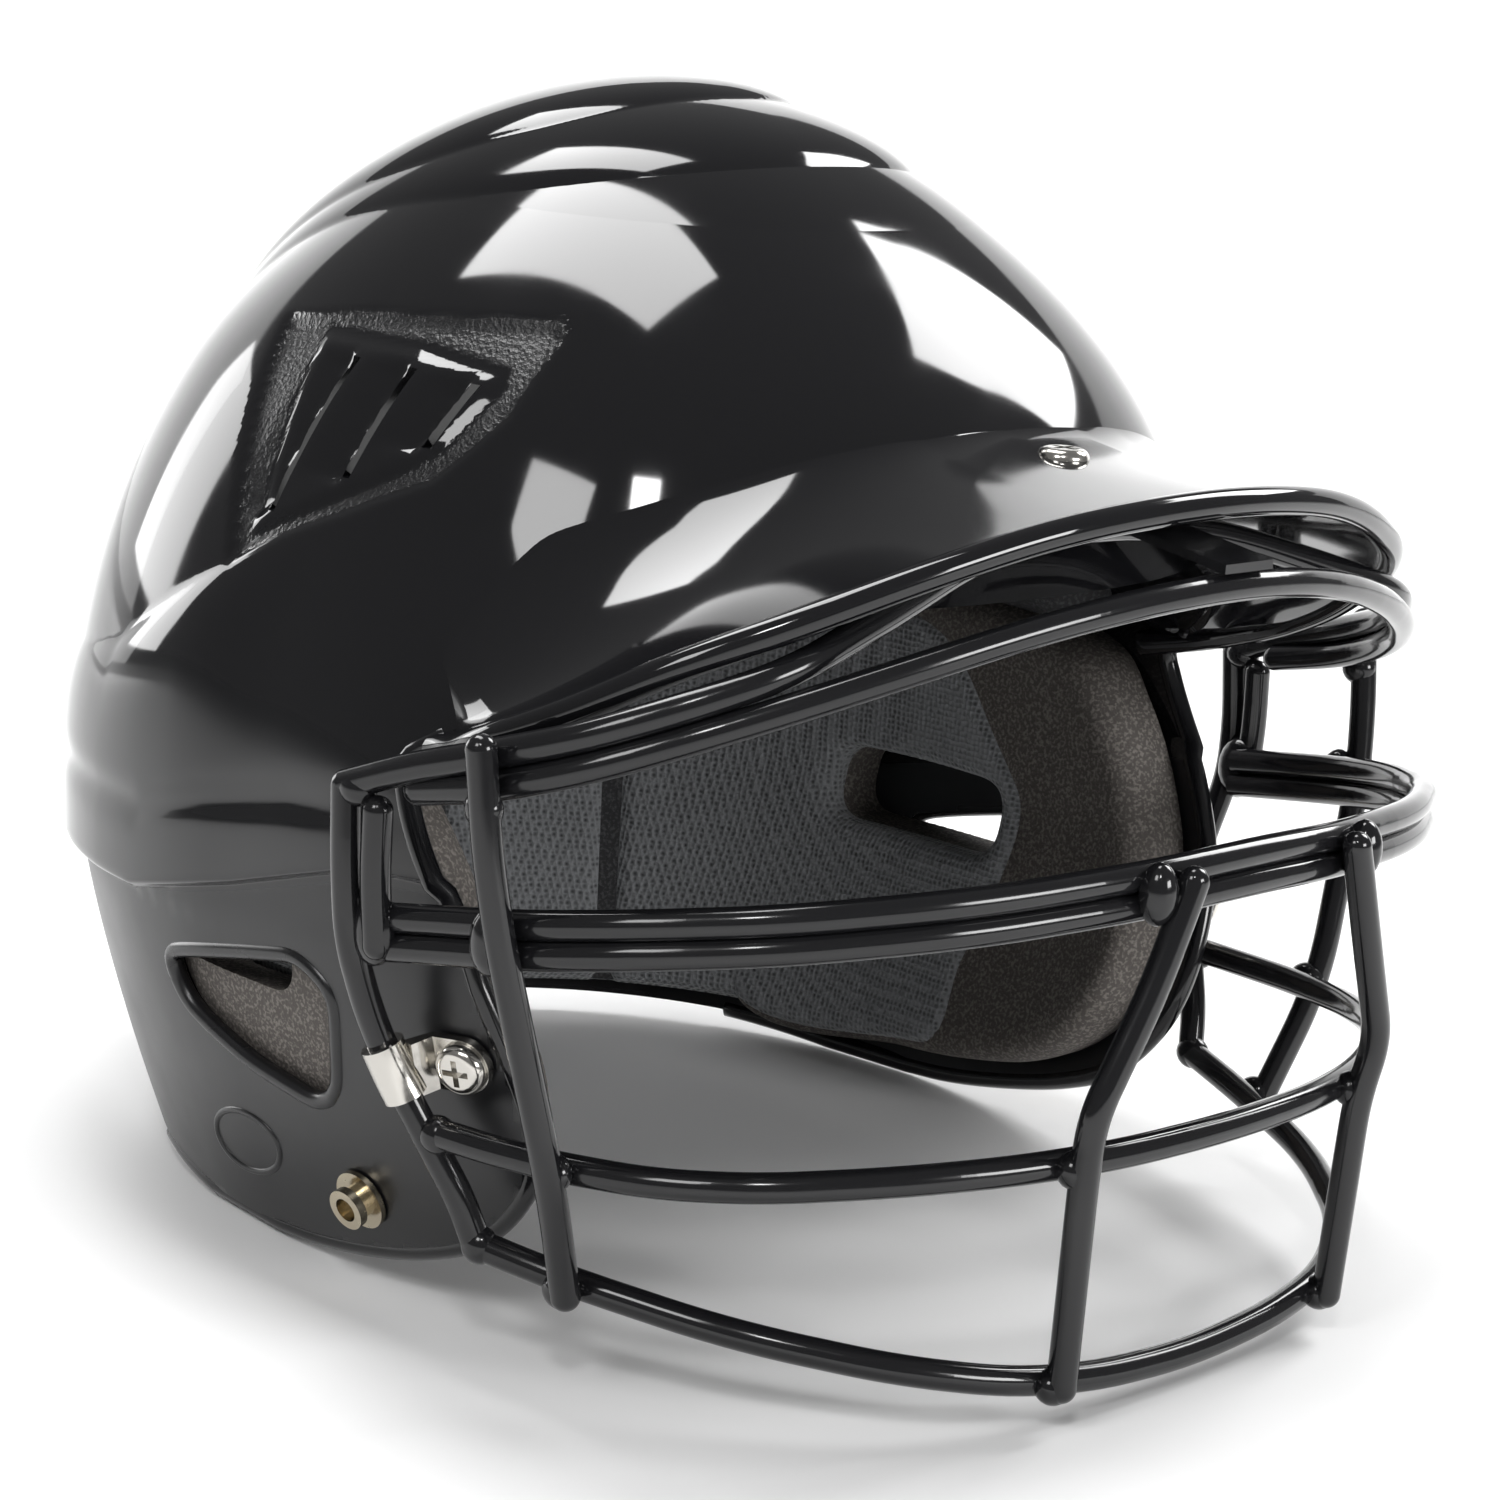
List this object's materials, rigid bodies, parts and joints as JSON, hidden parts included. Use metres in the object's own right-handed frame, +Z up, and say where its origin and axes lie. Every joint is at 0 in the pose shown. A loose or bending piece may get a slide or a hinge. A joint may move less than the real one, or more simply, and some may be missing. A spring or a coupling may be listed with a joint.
{
  "type": "batting helmet",
  "caption": "Hard batting helmet with two ear flaps, a padded liner, chin strap studs and a welded wire face guard held by two clips and a bill screw.",
  "frame": {"origin": "middle of the helmet's footprint, on the surface that its rim and chin wire stand on", "axes": "+Z up; the face looks along -Y; the wearer's left is +X"},
  "size_m": [0.243, 0.2689, 0.208],
  "materials": {
    "shell": "moulded gloss black with satin ear flap panels",
    "vinyl_wire": "dipped black vinyl coating over steel wire",
    "ear_foam": "speckled brown-grey closed-cell foam",
    "liner_foam": "dark grey closed-cell foam",
    "mesh_fabric": "grey knitted mesh",
    "nickel": "nickel plated, slightly brushed",
    "snap_nickel": "warm nickel plated brass",
    "strap_steel": "black coated steel",
    "screw_black": "black oxide screw"
  },
  "bodies": {
    "helmet": {"bill_nut": "nickel", "bill_spacer": "nickel", "bill_strap": "strap_steel", "brow_lower_wire": "vinyl_wire", "brow_upper_wire": "vinyl_wire", "centre_bar_left": "vinyl_wire", "centre_bar_right": "vinyl_wire", "cheek_wire": "vinyl_wire", "chin_wire": "vinyl_wire", "clip_nut_left": "nickel", "clip_nut_right": "nickel", "corner_strut_left": "vinyl_wire", "corner_strut_right": "vinyl_wire", "crown_pad": "liner_foam", "ear_pad_left": "ear_foam", "ear_pad_right": "ear_foam", "eye_lower_wire": "vinyl_wire", "eye_upper_wire": "vinyl_wire", "front_pad": "liner_foam", "guard_clip_left": "nickel", "guard_clip_right": "nickel", "outer_bar_left": "vinyl_wire", "outer_bar_right": "vinyl_wire", "rear_fabric": "mesh_fabric", "rear_pad": "liner_foam", "shell": "shell", "side_fabric_left": "mesh_fabric", "side_fabric_right": "mesh_fabric", "side_wire_left": "vinyl_wire", "side_wire_right": "vinyl_wire", "snap_back_left": "snap_nickel", "snap_back_right": "snap_nickel", "snap_stud_left": "snap_nickel", "snap_stud_right": "snap_nickel", "upper_rear_pad": "liner_foam", "upper_side_pad_left": "liner_foam", "upper_side_pad_right": "liner_foam"},
    "bill_screw": {"bill_screw": "screw_black"},
    "clip_screw_left": {"clip_screw_left": "nickel"},
    "clip_screw_right": {"clip_screw_right": "nickel"}
  },
  "joints": [
    {"name": "bill_screw_turn", "type": "hinge", "parent": "helmet", "child": "bill_screw", "pos_m": [0, -0.077, 0.1518], "axis": [0, 0, 1], "continuous": true},
    {"name": "clip_screw_turn_left", "type": "hinge", "parent": "helmet", "child": "clip_screw_left", "pos_m": [0.09793, -0.0415, 0.05], "axis": [0.9259, -0.2858, -0.2471], "continuous": true},
    {"name": "clip_screw_turn_right", "type": "hinge", "parent": "helmet", "child": "clip_screw_right", "pos_m": [-0.09793, -0.0415, 0.05], "axis": [-0.9259, -0.2858, -0.2471], "continuous": true}
  ]
}
